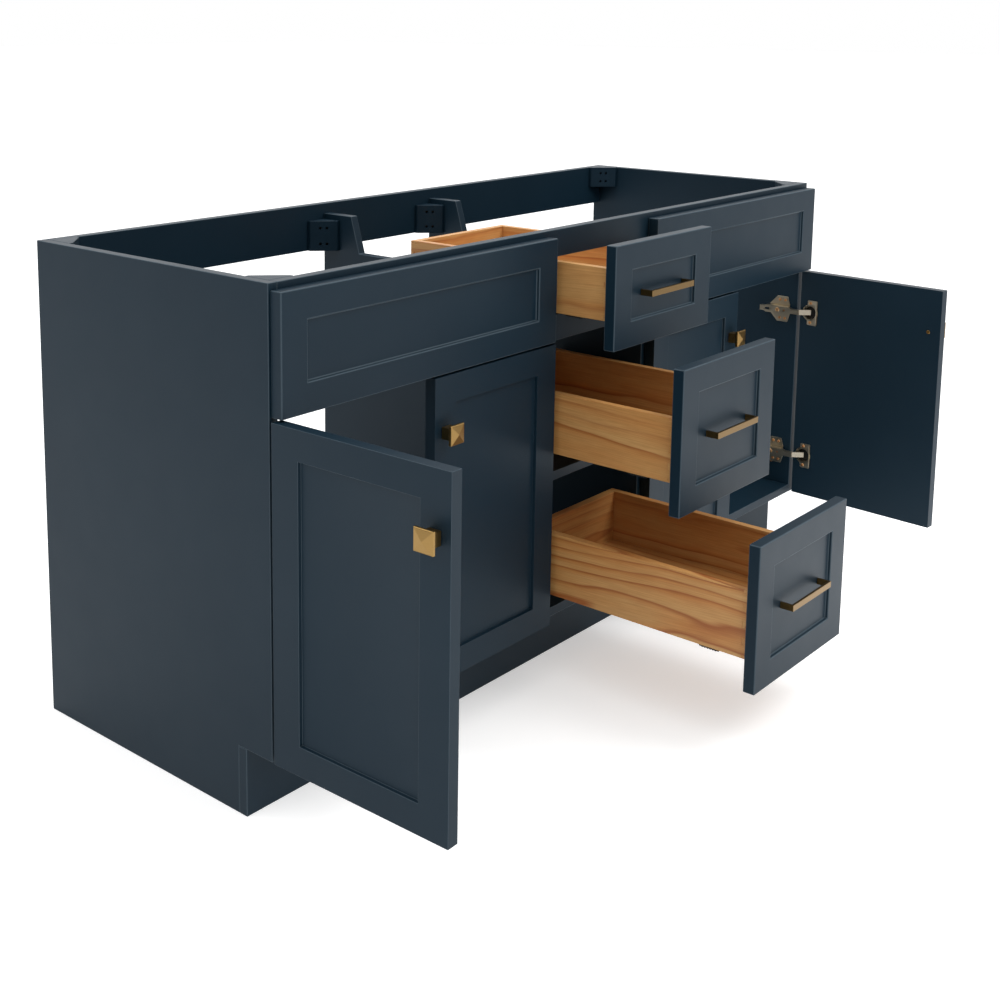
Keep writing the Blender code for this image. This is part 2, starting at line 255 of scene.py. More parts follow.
make_floor()
make_surround()
soft_box("overhead", **OVERHEAD)
soft_box("front_top", **FRONT_TOP)
print("studio with", len(bpy.data.lights), "lamps, a lit surround and a glowing floor")

# %% [markdown]
# ## Small helpers for node materials
#
# Every finish below is a Principled shader fed by a few noise textures, and a few helpers keep those cells
# short. One adds a node with its settings. Each of the others adds one common step: stretched coordinates,
# which is how brushing and wood fibre are drawn, a noise, a colour ramp, a range for a roughness, a mix of
# two colours, or a bump. The coordinates are Object ones, so a pattern stays on its piece when the piece
# moves.

# %% Node helpers


def add_node(material, kind, settings=None, **sockets):
    """A node of that kind. Settings are its own properties, and sockets are values or other nodes' outputs."""
    node = material.node_tree.nodes.new(kind)
    for name, value in (settings or {}).items():
        setattr(node, name, value)
    for name, value in sockets.items():
        socket = node.inputs[name.replace("_", " ")]
        if isinstance(value, bpy.types.NodeSocket):
            material.node_tree.links.new(value, socket)
        else:
            socket.default_value = value
    return node


def object_coordinates(material, stretch=(1.0, 1.0, 1.0)):
    coordinates = add_node(material, "ShaderNodeTexCoord")
    return add_node(
        material, "ShaderNodeMapping", Vector=coordinates.outputs["Object"], Scale=stretch
    ).outputs["Vector"]


def noise(material, vector, scale, detail=3.0, roughness=0.55):
    made = add_node(
        material, "ShaderNodeTexNoise", Vector=vector, Scale=scale, Detail=detail, Roughness=roughness
    )
    return made.outputs["Fac"]


def ramp(material, factor, stops):
    """A colour ramp. Each stop is a place and a colour of three numbers."""
    node = add_node(material, "ShaderNodeValToRGB", Fac=factor)
    elements = node.color_ramp.elements
    while len(elements) < len(stops):
        elements.new(1.0)
    for element, (place, colour) in zip(elements, stops):
        element.position = place
        element.color = (*colour, 1.0)
    return node.outputs["Color"]


def spread(material, factor, low, high):
    """Maps a 0 to 1 factor to a range of numbers, for a roughness."""
    return add_node(
        material, "ShaderNodeMapRange", Value=factor, To_Min=low, To_Max=high
    ).outputs["Result"]


def mix(material, blend, factor, below, above):
    """Two colours as one, laid over each other in the way that blend names."""
    return add_node(
        material, "ShaderNodeMixRGB", {"blend_type": blend}, Fac=factor, Color1=below, Color2=above
    ).outputs["Color"]


def bump(material, height, distance):
    """Relief of that depth, in metres, where the height goes from 0 to 1."""
    normal = add_node(material, "ShaderNodeBump", Height=height, Distance=distance, Strength=1.0)
    material.node_tree.links.new(normal.outputs["Normal"], shader_of(material).inputs["Normal"])


def feed(material, socket, output):
    """Drives a socket of the shader from a node's output."""
    material.node_tree.links.new(output, shader_of(material).inputs[socket])


# %% [markdown]
# ## Navy paint
#
# The carcass, doors and fronts are sprayed with a satin navy lacquer. Sprayed paint isn't perfectly flat:
# it has a faint orange peel a few millimetres across, and its sheen varies a little where it went on
# thicker. The colour itself hardly changes, so the noise mostly drives the roughness and a very shallow
# bump. The rounded edges get a painted highlight: boards mark those narrow faces with an attribute called
# arris, and the paint mixes in a paler colour there that stands in for the light the edges catch.

# %% Navy paint
NAVY = (0.0040, 0.0155, 0.0270)
NAVY_PALER = (0.0052, 0.0180, 0.0305)
# The paler colour of the painted highlight along the rounded edges.
EDGE_HIGHLIGHT = (0.0420, 0.0640, 0.0820)
PAINT_IOR = 1.30
PAINT_SHEEN = (0.88, 0.94, 1.0, 1.0)
PAINT_ROUGHNESS = (0.42, 0.50)
CLOUDS, SHEEN_PATCHES, ORANGE_PEEL = 4.0, 22.0, 420.0
PEEL_DEPTH = 0.00003


def navy_paint():
    paint = plain_material("satin_navy", NAVY, sum(PAINT_ROUGHNESS) / 2)
    shader_of(paint).inputs["IOR"].default_value = PAINT_IOR
    shader_of(paint).inputs["Specular Tint"].default_value = PAINT_SHEEN
    place = object_coordinates(paint)
    colour = ramp(paint, noise(paint, place, CLOUDS), ((0.3, NAVY), (0.7, NAVY_PALER)))
    arris = add_node(paint, "ShaderNodeAttribute", {"attribute_name": "arris"}).outputs["Fac"]
    # A paler colour on the arris faces: a painted highlight along the edges.
    feed(paint, "Base Color", mix(paint, "MIX", arris, colour, (*EDGE_HIGHLIGHT, 1.0)))
    feed(paint, "Roughness", spread(paint, noise(paint, place, SHEEN_PATCHES), *PAINT_ROUGHNESS))
    bump(paint, noise(paint, place, ORANGE_PEEL, detail=2.0), PEEL_DEPTH)
    return paint


PAINT = navy_paint()
print("navy paint", [node.type for node in PAINT.node_tree.nodes])

# %% [markdown]
# ## Pine
#
# The drawer boxes are clear-lacquered pine. A flat-sawn board is cut through the tree's growth rings, so
# its face shows long arches: pale early wood that darkens slowly to a thin red-brown line, then drops back
# to pale. Rings about an axis that runs along the board, in a sawtooth and slightly bent by noise, give
# exactly that. Each board stores where it lay in its tree as an attribute called grain, with its first
# number along the board, so one material suits boards that run either way, and end grain comes out right by
# itself. Fine fibre and two sizes of faint cloud are multiplied in on top, and the fibre also makes the
# lacquer a little uneven.

# %% Pine
PINE_EARLY = (0.640, 0.368, 0.138)
PINE_MIDDLE = (0.600, 0.285, 0.085)
PINE_LATE = (0.390, 0.120, 0.027)
RING_WIDTH = 0.0150
WAVE_PER_METRE = 2 * math.pi / 20
RING_STRETCH, RING_BEND = 0.20, 7.0
FIBRE_DEPTH = 0.00005


def stretched(material, vector, along, across):
    """Grain coordinates, scaled along the board and across it."""
    return add_node(
        material, "ShaderNodeMapping", Vector=vector, Scale=(along, across, across)
    ).outputs["Vector"]


def pine(name):
    wood = plain_material(name, PINE_EARLY, 0.42)
    grain = add_node(wood, "ShaderNodeAttribute", {"attribute_name": "grain"}).outputs["Vector"]
    # The wave texture turns once in WAVE_PER_METRE of its own units, so this scale sets the ring width.
    across = WAVE_PER_METRE / RING_WIDTH
    rings = add_node(
        wood,
        "ShaderNodeTexWave",
        {"wave_type": "RINGS", "rings_direction": "X", "wave_profile": "SAW"},
        Vector=stretched(wood, grain, across * RING_STRETCH, across),
        Scale=1.0,
        Distortion=RING_BEND,
        Detail=2.0,
        Detail_Scale=0.8,
        Detail_Roughness=0.45,
    ).outputs["Fac"]
    lines = ramp(
        wood,
        rings,
        ((0.0, PINE_EARLY), (0.35, PINE_EARLY), (0.72, PINE_MIDDLE), (0.90, PINE_LATE), (1.0, PINE_EARLY)),
    )
    strength = ramp(
        wood, noise(wood, stretched(wood, grain, 1.6, 17.0), 1.0), ((0.38, (0.15,) * 3), (0.62, (0.95,) * 3))
    )
    colour = mix(wood, "MIX", strength, (*PINE_EARLY, 1.0), lines)
    fibre = noise(wood, stretched(wood, grain, 14.0, 700.0), 1.0, detail=4.0)
    for factor, low, high in (
        (fibre, (0.80, 0.74, 0.68), (1.0, 1.0, 1.0)),
        (noise(wood, stretched(wood, grain, 3.0, 26.0), 1.0), (0.94, 0.80, 0.66), (1.0, 1.0, 1.0)),
        (noise(wood, stretched(wood, grain, 30.0, 90.0), 1.0), (0.93, 0.90, 0.86), (1.0, 1.0, 1.0)),
    ):
        colour = mix(wood, "MULTIPLY", 1.0, colour, ramp(wood, factor, ((0.3, low), (0.68, high))))
    feed(wood, "Base Color", colour)
    feed(wood, "Roughness", spread(wood, fibre, 0.52, 0.40))
    bump(wood, fibre, FIBRE_DEPTH)
    return wood


PINE = pine("lacquered_pine")
print("pine rings every", RING_WIDTH * 1000, "mm")

# %% [markdown]
# ## Metals
#
# The knobs are brushed brass, and the pulls a darker brass, a painted shade. Hinges are warm nickel plate
# with links of plain pressed steel, and their screws have a coppery plate. The screws sunk in the corner
# blocks are steel made near black, a painted shade for their deep holes, and the runners zinc plate.
# Brushing is fine noise stretched along one direction. Plate is smoother and only shows faint clouds, so
# its roughness varies while its colour stays almost even. The drawer clips and the floors of the hinge cups
# are dark moulded plastic, which isn't a metal but is made here because it is used beside them. The dark
# cup floors are partly a painted shade for the cups' hollows.

# %% Brass, nickel, steel, zinc and dark plastic
DULLER = 0.82
ROUGHNESS_SPREAD = 0.07
LONG_BRUSHING = (60.0, 900.0, 1400.0)
PLATE_CLOUDS = (25.0, 25.0, 25.0)
SCREW_GRAIN = (300.0, 300.0, 300.0)


def metal(name, colour, roughness, stretch, bump_depth):
    """A metal whose brushing runs along the axis with the small stretch."""
    made = plain_material(name, colour, roughness)
    shader_of(made).inputs["Metallic"].default_value = 1.0
    brushed = noise(made, object_coordinates(made, stretch), 1.0, detail=4.0, roughness=0.6)
    darker = tuple(c * DULLER for c in colour)
    feed(made, "Base Color", ramp(made, brushed, ((0.3, darker), (0.7, colour))))
    feed(made, "Roughness", spread(made, brushed, roughness - ROUGHNESS_SPREAD, roughness + ROUGHNESS_SPREAD))
    bump(made, brushed, bump_depth)
    return made


BRASS = metal("warm_brass", (0.360, 0.225, 0.080), 0.34, LONG_BRUSHING, 0.00001)
# A darker copy of the brass for the pulls: a painted shade.
SHADED_PULL_BRASS = metal("brass_with_painted_shade", (0.200, 0.122, 0.042), 0.36, LONG_BRUSHING, 0.00001)
NICKEL = metal("nickel_plate", (0.70, 0.61, 0.46), 0.31, PLATE_CLOUDS, 0.000002)
COPPERY = metal("coppery_plate", (0.80, 0.46, 0.22), 0.30, SCREW_GRAIN, 0.00001)
PRESSED = metal("pressed_steel", (0.40, 0.36, 0.29), 0.40, PLATE_CLOUDS, 0.000002)
# Steel made near black: a painted shade for the screws sunk in deep holes.
SHADED_SCREW_STEEL = metal("screw_steel_painted_shade", (0.045, 0.042, 0.040), 0.42, SCREW_GRAIN, 0.00001)
ZINC = metal("zinc_plate", (0.42, 0.43, 0.44), 0.38, (160.0, 30.0, 160.0), 0.00001)
PLASTIC = plain_material("dark_plastic", (0.012, 0.012, 0.013), 0.5)
bump(PLASTIC, noise(PLASTIC, object_coordinates(PLASTIC), 1500.0), 0.00002)
METALS = (BRASS, SHADED_PULL_BRASS, NICKEL, COPPERY, PRESSED, SHADED_SCREW_STEEL, ZINC)
print("metals:", [made.name for made in METALS], "and", PLASTIC.name)

# %% [markdown]
# ## Shaping helpers
#
# A real board never has a razor edge: the maker breaks it with a stroke of sandpaper, and the paint rounds
# it more. That small arris catches the light as a thin bright line, so every board here gets one. A packed
# node is loose triangles, so a copy is merged and its flat triangles joined before its edges are bevelled.
# The new piece then rides on the same body and stands for the node.

# %% Helpers that make pieces
FLAT = math.radians(2)
SHARP = math.radians(25)
SAME_PLACE = 0.00002


def soften(bm, width, segments=2):
    """Rounds every edge that is sharper than SHARP, and gives back the new narrow faces."""
    edges = [e for e in bm.edges if len(e.link_faces) == 2 and e.calc_face_angle() > SHARP]
    return bmesh.ops.bevel(
        bm,
        geom=edges,
        offset=width,
        segments=segments,
        profile=0.5,
        affect="EDGES",
        material=-1,
        clamp_overlap=True,
    )["faces"]


def piece(name, bm, finish, body, smooth=False):
    """Makes the object, with its place in its mesh, and lets it ride on a body, if one is given."""
    mesh = bpy.data.meshes.new(name)
    bm.to_mesh(mesh)
    bm.free()
    mesh.materials.append(finish)
    if smooth:
        mesh.shade_smooth()
        mesh.set_sharp_from_angle(angle=SHARP)
    obj = bpy.data.objects.new(name, mesh)
    bpy.context.scene.collection.objects.link(obj)
    if body:
        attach(obj, body)
    return obj


def node_copy(node):
    """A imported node's mesh, merged, with its flat triangles joined into whole faces."""
    bm = bmesh.new()
    bm.from_mesh(NODES[node].data)
    bmesh.ops.remove_doubles(bm, verts=bm.verts, dist=SAME_PLACE)
    bmesh.ops.dissolve_limit(bm, angle_limit=FLAT, verts=bm.verts, edges=bm.edges)
    return bm


def block(low, high):
    """A plain box between two corners."""
    low, high = Vector(low), Vector(high)
    bm = bmesh.new()
    bmesh.ops.create_cube(bm, size=1.0)
    bmesh.ops.scale(bm, vec=high - low, verts=bm.verts)
    bmesh.ops.translate(bm, vec=(low + high) / 2, verts=bm.verts)
    return bm


def rod(start, end, radius, segments=24):
    """A capped cylinder from one point to another."""
    start, end = Vector(start), Vector(end)
    turn = (end - start).to_track_quat("Z", "Y").to_matrix().to_4x4()
    bm = bmesh.new()
    bmesh.ops.create_cone(
        bm,
        cap_ends=True,
        segments=segments,
        radius1=radius,
        radius2=radius,
        depth=(end - start).length,
        matrix=Matrix.Translation((start + end) / 2) @ turn,
    )
    return bm


def plate(outline, thickness):
    """A flat outline in X and Y, made solid from Z 0 up to its thickness."""
    bm = bmesh.new()
    face = bm.faces.new([bm.verts.new((x, y, 0.0)) for x, y in outline])
    face.normal_update()
    if face.normal.z > 0:
        face.normal_flip()
    lifted = bmesh.ops.extrude_face_region(bm, geom=[face], use_keep_orig=True)["geom"]
    moved = [v for v in lifted if isinstance(v, bmesh.types.BMVert)]
    bmesh.ops.translate(bm, vec=(0, 0, thickness), verts=moved)
    bmesh.ops.recalc_face_normals(bm, faces=bm.faces)
    return bm


def turned(bm, matrix):
    """The mesh moved by a matrix, with its faces still pointing outwards where the matrix mirrors."""
    bmesh.ops.transform(bm, matrix=matrix, verts=bm.verts)
    if matrix.determinant() < 0:
        bmesh.ops.reverse_faces(bm, faces=bm.faces)
    return bm


def together(parts):
    """Several meshes as one, each kept a closed shell of its own."""
    whole = bmesh.new()
    for part in parts:
        mesh = bpy.data.meshes.new("part")
        part.to_mesh(mesh)
        part.free()
        whole.from_mesh(mesh)
        bpy.data.meshes.remove(mesh)
    return whole


def carved(bm, cutters):
    """The mesh with the cutters' shapes taken out of it."""
    objects = []
    for made in (bm, together(cutters)):
        mesh = bpy.data.meshes.new("carving")
        made.to_mesh(mesh)
        made.free()
        objects.append(bpy.data.objects.new("carving", mesh))
        bpy.context.scene.collection.objects.link(objects[-1])
    solid, cutter = objects
    modifier = solid.modifiers.new("carve", "BOOLEAN")
    modifier.object = cutter
    modifier.operation = "DIFFERENCE"
    evaluated = solid.evaluated_get(bpy.context.evaluated_depsgraph_get())
    result = bmesh.new()
    result.from_mesh(evaluated.to_mesh())
    evaluated.to_mesh_clear()
    for obj in objects:
        mesh = obj.data
        bpy.data.objects.remove(obj)
        bpy.data.meshes.remove(mesh)
    return result


print("edges sharper than", round(math.degrees(SHARP)), "degrees will be rounded")

# %% [markdown]
# ## Carcass boards
#
# Sides, partitions, rails, bottom and toe kick are cut from board and painted. The doors, the drawer fronts
# and the two false fronts above the doors are of the same kind, each a frame round a recessed panel. All
# take their imported shape with a broken edge, a little wider on the fronts, which hands touch most. The
# narrow faces of that edge are marked as arris, and the paint gives them a painted highlight, a paler colour.

# %% Boards and fronts
BOARD_ARRIS = 0.0010
FRONT_ARRIS = 0.0015


def painted(node, arris):
    """The node's own shape with edges of that width, marked for the paint's painted highlight."""
    bm = node_copy(node)
    # The bevel's narrow faces get the painted edge highlight.
    edge_highlight = bm.faces.layers.float.new("arris")
    for face in soften(bm, arris, segments=3):
        face[edge_highlight] = 1.0
    obj = piece(f"{node}_painted", bm, PAINT, BODY_OF[node])
    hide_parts(node)
    return obj


FRONTS = [n for n in NODES if n.endswith(("_fascia", "_door", "_drawer_front"))]
BOARDS = [n for n in NODES if BODY_OF[n] == "carcass" and n.endswith(("panel", "partition", "rail", "board"))]
for node in BOARDS:
    painted(node, BOARD_ARRIS)
for node in FRONTS:
    painted(node, FRONT_ARRIS)
print(f"{len(BOARDS)} boards and {len(FRONTS)} fronts painted")

# %% [markdown]
# ## Brass knobs and pulls
#
# Each knob is a square head with a low pyramid face on a tapered stem, and each pull is a flat bar bent
# square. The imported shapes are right, so they only need the tiny rounded corners that make brass glint.

# %% Knobs and pulls
BRASS_ARRIS = 0.0004
for node in [n for n in NODES if n.endswith(("_knob", "_pull"))]:
    bm = node_copy(node)
    soften(bm, BRASS_ARRIS)
    # The pulls take the darker brass, a painted shade.
    finish = SHADED_PULL_BRASS if node.endswith("_pull") else BRASS
    obj = piece(f"{node}_brass", bm, finish, BODY_OF[node])
    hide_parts(node)
print("knobs and pulls are brass, their edges rounded by", BRASS_ARRIS * 1000, "mm")

# %% [markdown]
# ## Pine drawer boxes
#
# Each box is four solid pine boards round a floor panel. No two boards come from the same place in a tree,
# so each draws its own place from one seeded list of random numbers, which keeps every run the same: how
# far along and aside it lay, how far off the tree's heart, and how much its grain runs aslant.

# %% Marking the grain
WALL = 0.0127
FLOOR_LIFT = 0.013
FLOOR_THICKNESS = 0.006
WOOD_ARRIS = 0.0005
TREES = random.Random(11)
ASIDE = 0.045
OFF_HEART = (0.022, 0.05)
ASLANT = 0.06


def mark_grain(bm, along, across):
    """Stores where the board lay in its tree: along it, across its width, and off the tree's heart."""
    layer = bm.verts.layers.float_vector.new("grain")
    deep = 3 - along - across
    middle = sum((v.co for v in bm.verts), Vector()) / len(bm.verts)
    start = TREES.uniform(0, 9)
    sideways = TREES.uniform(-ASIDE, ASIDE)
    off_heart = TREES.choice((-1, 1)) * TREES.uniform(*OFF_HEART)
    slope = TREES.uniform(-ASLANT, ASLANT)
    for vert in bm.verts:
        place = vert.co - middle
        level = place[across] + sideways + slope * place[along]
        vert[layer] = (place[along] + start, level, place[deep] + off_heart)


def pine_board(name, bm, body, along, across):
    soften(bm, WOOD_ARRIS)
    mark_grain(bm, along, across)
    return piece(name, bm, PINE, body)


print("drawer boards are", WALL * 1000, "mm thick")

# %% [markdown]
# ## Dovetails
#
# The corners are dovetailed: the sides end in tails that are wider at the tip, and the front and back have
# pins that fill the gaps between them, so the box can't be pulled apart by its front. A tail board is one
# outline with tails at both ends, made thick. A pin board starts as a strip of faces across its thickness,
# one for each pin and each socket. The whole strip is extruded along the board, and the pins alone are
# extruded again at both ends. That takes no cutting, so the joint is exact and each board has few faces.

# %% Dovetailed corners
TAIL_PITCH = 0.027
TAIL_SHARE = 0.36
TAIL_SLOPE = 1 / 6


def tails(low, high):
    """Each tail's middle, half its width at the tip and half its width at the neck."""
    count = round((high - low) / TAIL_PITCH)
    pitch = (high - low) / count
    tip = TAIL_SHARE * pitch
    neck = tip - WALL * TAIL_SLOPE
    return [(low + (i + 0.5) * pitch, tip, neck) for i in range(count)]


def tailed_edge(end, shoulder, low, high):
    """The outline of one end of a tail board, from its bottom to its top."""
    edge = [(shoulder, low)]
    for middle, tip, neck in tails(low, high):
        edge += [(shoulder, middle - neck), (end, middle - tip), (end, middle + tip), (shoulder, middle + neck)]
    return edge + [(shoulder, high)]


def tail_board(front, back, low, high, back_low):
    """A drawer side in Y and Z, with its thickness in X from 0 to WALL."""
    outline = tailed_edge(front, front + WALL, low, high)
    back_edge = [(back, low), (back, back_low)] + tailed_edge(back, back - WALL, back_low, high)
    bm = plate(outline + back_edge[::-1], WALL)
    return turned(bm, Matrix(((0, 0, 1, 0), (1, 0, 0, 0), (0, 1, 0, 0), (0, 0, 0, 1))))


def pin_board(end, shoulder, low, high, half):
    """A drawer's front or back: it spans from -half to half in X, with pins that fill the gaps of the tails."""
    rows = ((end, 1), (shoulder, 2))
    bm = bmesh.new()
    ladder = []
    for y, which in rows:
        heights = [low]
        for tail in tails(low, high):
            heights += [tail[0] - tail[which], tail[0] + tail[which]]
        ladder.append([bm.verts.new((-half + WALL, y, z)) for z in heights + [high]])
    strip = []
    for i in range(len(ladder[0]) - 1):
        strip.append(bm.faces.new((ladder[0][i], ladder[0][i + 1], ladder[1][i + 1], ladder[1][i])))
    made = bmesh.ops.extrude_face_region(bm, geom=strip, use_keep_orig=True)["geom"]
    far = [v for v in made if isinstance(v, bmesh.types.BMVert)]
    bmesh.ops.translate(bm, vec=(2 * (half - WALL), 0, 0), verts=far)
    for side in (-1, 1):
        inner = side * (half - WALL)
        ends = [f for f in bm.faces if all(abs(v.co.x - inner) < WALL / 10 for v in f.verts)]
        ends.sort(key=lambda f: f.calc_center_median().z)
        pins = bmesh.ops.extrude_discrete_faces(bm, faces=ends[::2])["faces"]
        tips = [v for pin in pins for v in pin.verts]
        bmesh.ops.translate(bm, vec=(side * WALL, 0, 0), verts=tips)
    bmesh.ops.recalc_face_normals(bm, faces=bm.faces)
    return bm


print("a side 100 mm high would have", len(tails(0.0, 0.1)), "tails")

# %% [markdown]
# ## The three boxes
#
# The three boxes differ only in height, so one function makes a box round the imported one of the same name.
# The floor sits in from the bottom edge, which leaves a hollow below it for the runners, and the back ends
# at the floor's underside so that the runners can pass.

# %% The three boxes
DRAWERS = ("top", "middle", "bottom")
X, Y, Z = range(3)


def drawer_box(name):
    low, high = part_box(f"{name}_drawer_box")
    body = BODY_OF[f"{name}_drawer_box"]
    floor_low = low.z + FLOOR_LIFT
    inner = high.x - WALL
    made = []
    for hand, x in (("left", low.x), ("right", inner)):
        side = tail_board(low.y, high.y, low.z, high.z, floor_low)
        bmesh.ops.translate(side, vec=(x, 0, 0), verts=side.verts)
        made.append(pine_board(f"{name}_drawer_{hand}_side", side, body, Y, Z))
    subfront = pin_board(low.y, low.y + WALL, low.z, high.z, high.x)
    made.append(pine_board(f"{name}_drawer_subfront", subfront, body, X, Z))
    back = pin_board(high.y, high.y - WALL, floor_low, high.z, high.x)
    made.append(pine_board(f"{name}_drawer_back", back, body, X, Z))
    floor = block((-inner, low.y + WALL, floor_low), (inner, high.y - WALL, floor_low + FLOOR_THICKNESS))
    made.append(pine_board(f"{name}_drawer_floor", floor, body, Y, X))
    for board in made:
        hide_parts(f"{name}_drawer_box")
    return made


for name in DRAWERS:
    print(name, "drawer:", len(drawer_box(name)), "boards")

# %% [markdown]
# ## Screws
#
# A screw head is a short cylinder with a rounded rim and a cross cut into it. The same head is used dozens
# of times, so it is cut once, and each use is a scaled and turned copy.

# %% A cross-head screw
HEAD_RADIUS = 1.0
HEAD_HEIGHT = 0.5
RIM_ROUNDING = 0.25
CROSS = (0.62, 0.16, 0.35)


def make_head():
    """A head of radius 1 that stands on Z 0."""
    bm = rod((0, 0, 0), (0, 0, HEAD_HEIGHT), HEAD_RADIUS, segments=20)
    rim = [e for e in bm.edges if all(v.co.z > HEAD_HEIGHT / 2 for v in e.verts)]
    bmesh.ops.bevel(
        bm, geom=rim, offset=RIM_ROUNDING, segments=3, profile=0.5, affect="EDGES", material=-1
    )
    long, narrow, deep = CROSS
    arms = []
    for x, y in ((long, narrow), (narrow, long)):
        arms.append(block((-x, -y, HEAD_HEIGHT - deep), (x, y, HEAD_HEIGHT + deep)))
    return carved(carved(bm, arms[:1]), arms[1:])


HEAD = make_head()


def screw_head(place, facing, radius):
    """A copy of the head with its foot at a point, facing a direction."""
    turn = Vector(facing).to_track_quat("Z", "Y").to_matrix().to_4x4()
    return turned(HEAD.copy(), Matrix.Translation(place) @ turn @ Matrix.Scale(radius, 4))


print("screw head:", len(HEAD.faces), "faces")

# %% [markdown]
# ## Cup hinges
#
# A concealed hinge has two halves. A sprung arm, folded from sheet into a channel, clips over a winged
# plate that is screwed to the cabinet side. A steel cup sits in a bore in the door, held by a flange with
# an ear at each end. All of it is drawn once in the hinge's own directions: u runs inboard from the door's
# hinge edge, v into the cabinet from its front, and w up from the hinge's middle. That way one drawing
# serves eight hinges on either hand.

# %% The hinge's arm and plate
FRONT_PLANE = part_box("left_side_panel")[0].y
DOORS = {"left_outer": 1, "left_inner": -1, "right_inner": 1, "right_outer": -1}
PIVOT_INBOARD = {"outer": 0.0032, "inner": 0.0052}
ARM_WALL = 0.0012
ARM_U = (0.0200, 0.0300)
ARM_OUTLINE = (
    (-0.0108, 0.0048),
    (0.007, 0.0048),
    (0.013, 0.0075),
    (0.063, 0.0075),
    (0.068, 0.0052),
    (0.076, 0.0052),
)
WING_OUTLINE = ((0.016, 0.010), (0.021, 0.027), (0.044, 0.027), (0.060, 0.0095))
WING_THICKNESS = 0.0014
WING_SCREWS = ((0.0265, 0.0195), (0.0385, 0.0195))
HINGE_SCREW = 0.0030
# What is screwed to a face stands off it by this much, so that the two never share a surface.
STAND_OFF = 0.0003
# The channel has one round hole and one long slot, cut right through its web.
HOLE_V, SLOT_V = 0.022, (0.0535, 0.0625)
SLOT_HALF = 0.0026
SADDLE_V, SADDLE_HALF, SADDLE_INTO_ARM = (0.019, 0.058), 0.0062, 0.004
FIXING_V, FIXING_RADIUS = 0.0365, 0.0042
ADJUSTER_DEEP, ADJUSTER_RADIUS = 0.006, 0.0024
# Plate coordinates are v and w with the thickness along u.
FROM_PLATE = Matrix(((0, 0, 1, 0), (1, 0, 0, 0), (0, 1, 0, 0), (0, 0, 0, 1)))


def both_ways(half_outline):
    """A half outline above the middle line, closed with its mirror image below."""
    return list(half_outline) + [(a, -b) for a, b in reversed(half_outline)]


def slab(outline, u_low, u_high):
    """An outline in v and w, made thick along u."""
    bm = turned(plate(outline, u_high - u_low), FROM_PLATE)
    bmesh.ops.translate(bm, vec=(u_low, 0, 0), verts=bm.verts)
    return bm


def hinge_arm():
    """The folded channel: its web faces inboard, and its open side the cabinet side."""
    low, high = ARM_U
    inside = [(v, w - ARM_WALL) for v, w in ARM_OUTLINE]
    inside[0] = (ARM_OUTLINE[0][0] - ARM_WALL, inside[0][1])
    inside[-1] = (ARM_OUTLINE[-1][0] + ARM_WALL, inside[-1][1])
    hollow = slab(both_ways(inside), low - ARM_WALL, high - ARM_WALL)
    past = high + ARM_WALL
    cutters = [rod((low, v, 0), (past, v, 0), SLOT_HALF, segments=16) for v in (HOLE_V, *SLOT_V)]
    cutters.append(block((low, SLOT_V[0], -SLOT_HALF), (past, SLOT_V[1], SLOT_HALF)))
    bm = carved(slab(both_ways(ARM_OUTLINE), low, high), [hollow])
    for cutter in cutters:
        bm = carved(bm, [cutter])
    return bm


def winged_plate(panel_face):
    """The foot that the arm clips over, between its two wings."""
    foot = panel_face + STAND_OFF
    wings = slab(both_ways(WING_OUTLINE), foot, foot + WING_THICKNESS)
    soften(wings, 0.0004)
    saddle = block(
        (foot, SADDLE_V[0], -SADDLE_HALF), (ARM_U[0] + SADDLE_INTO_ARM, SADDLE_V[1], SADDLE_HALF)
    )
    soften(saddle, 0.0008)
    return together([wings, saddle])


def arm_screws(panel_face):
    """Two screws in each wing, then the fixing and the adjusting screw of the arm."""
    top = panel_face + STAND_OFF + WING_THICKNESS
    heads = []
    for v, w in WING_SCREWS:
        for side in (-1, 1):
            heads.append(screw_head((top, v, side * w), (1, 0, 0), HINGE_SCREW))
    heads.append(screw_head((ARM_U[1] - ARM_WALL, FIXING_V, 0), (1, 0, 0), FIXING_RADIUS))
    heads.append(screw_head((ARM_U[0] + ADJUSTER_DEEP, HOLE_V, 0), (1, 0, 0), ADJUSTER_RADIUS))
    return together(heads)


print("hinge arm", round((ARM_OUTLINE[-1][0] - ARM_OUTLINE[0][0]) * 1000), "mm long")

# %% [markdown]
# ## Cup and link
#
# The cup is a thick-walled bowl with a dark plastic floor. Its flange lies flat on the door and has one
# raised rim along the side away from the edge. A real hinge folds on several small levers. One stamped link
# stands for them here. It is divided along its length.
# The cup's dark plastic floor is partly a real hinge part and partly a painted shade for the cup's hollow.

# %% The hinge's cup and link
CUP_U = 0.0225
CUP_RADIUS = 0.0170
CUP_MOUTH = 0.0138
CUP_DEPTH = 0.0112
FLANGE_THICKNESS = 0.0009
EAR_W = 0.0205
RIM_U, RIM_W, RIM_RISE = (0.0368, 0.0384), 0.0240, 0.0030
LINER_THICKNESS = 0.0003
LINK_WIDTH, LINK_THICKNESS = 0.0112, 0.0036
LINK_ROUNDING, LINK_CUTS = 0.0008, 7
PAST_CUP = 0.01
FLANGE_OUTLINE = (
    (0.0085, 0.0100),
    (0.0168, 0.0165),
    (0.0168, 0.0243),
    (0.0185, 0.0260),
    (0.0368, 0.0260),
    (0.0385, 0.0243),
)


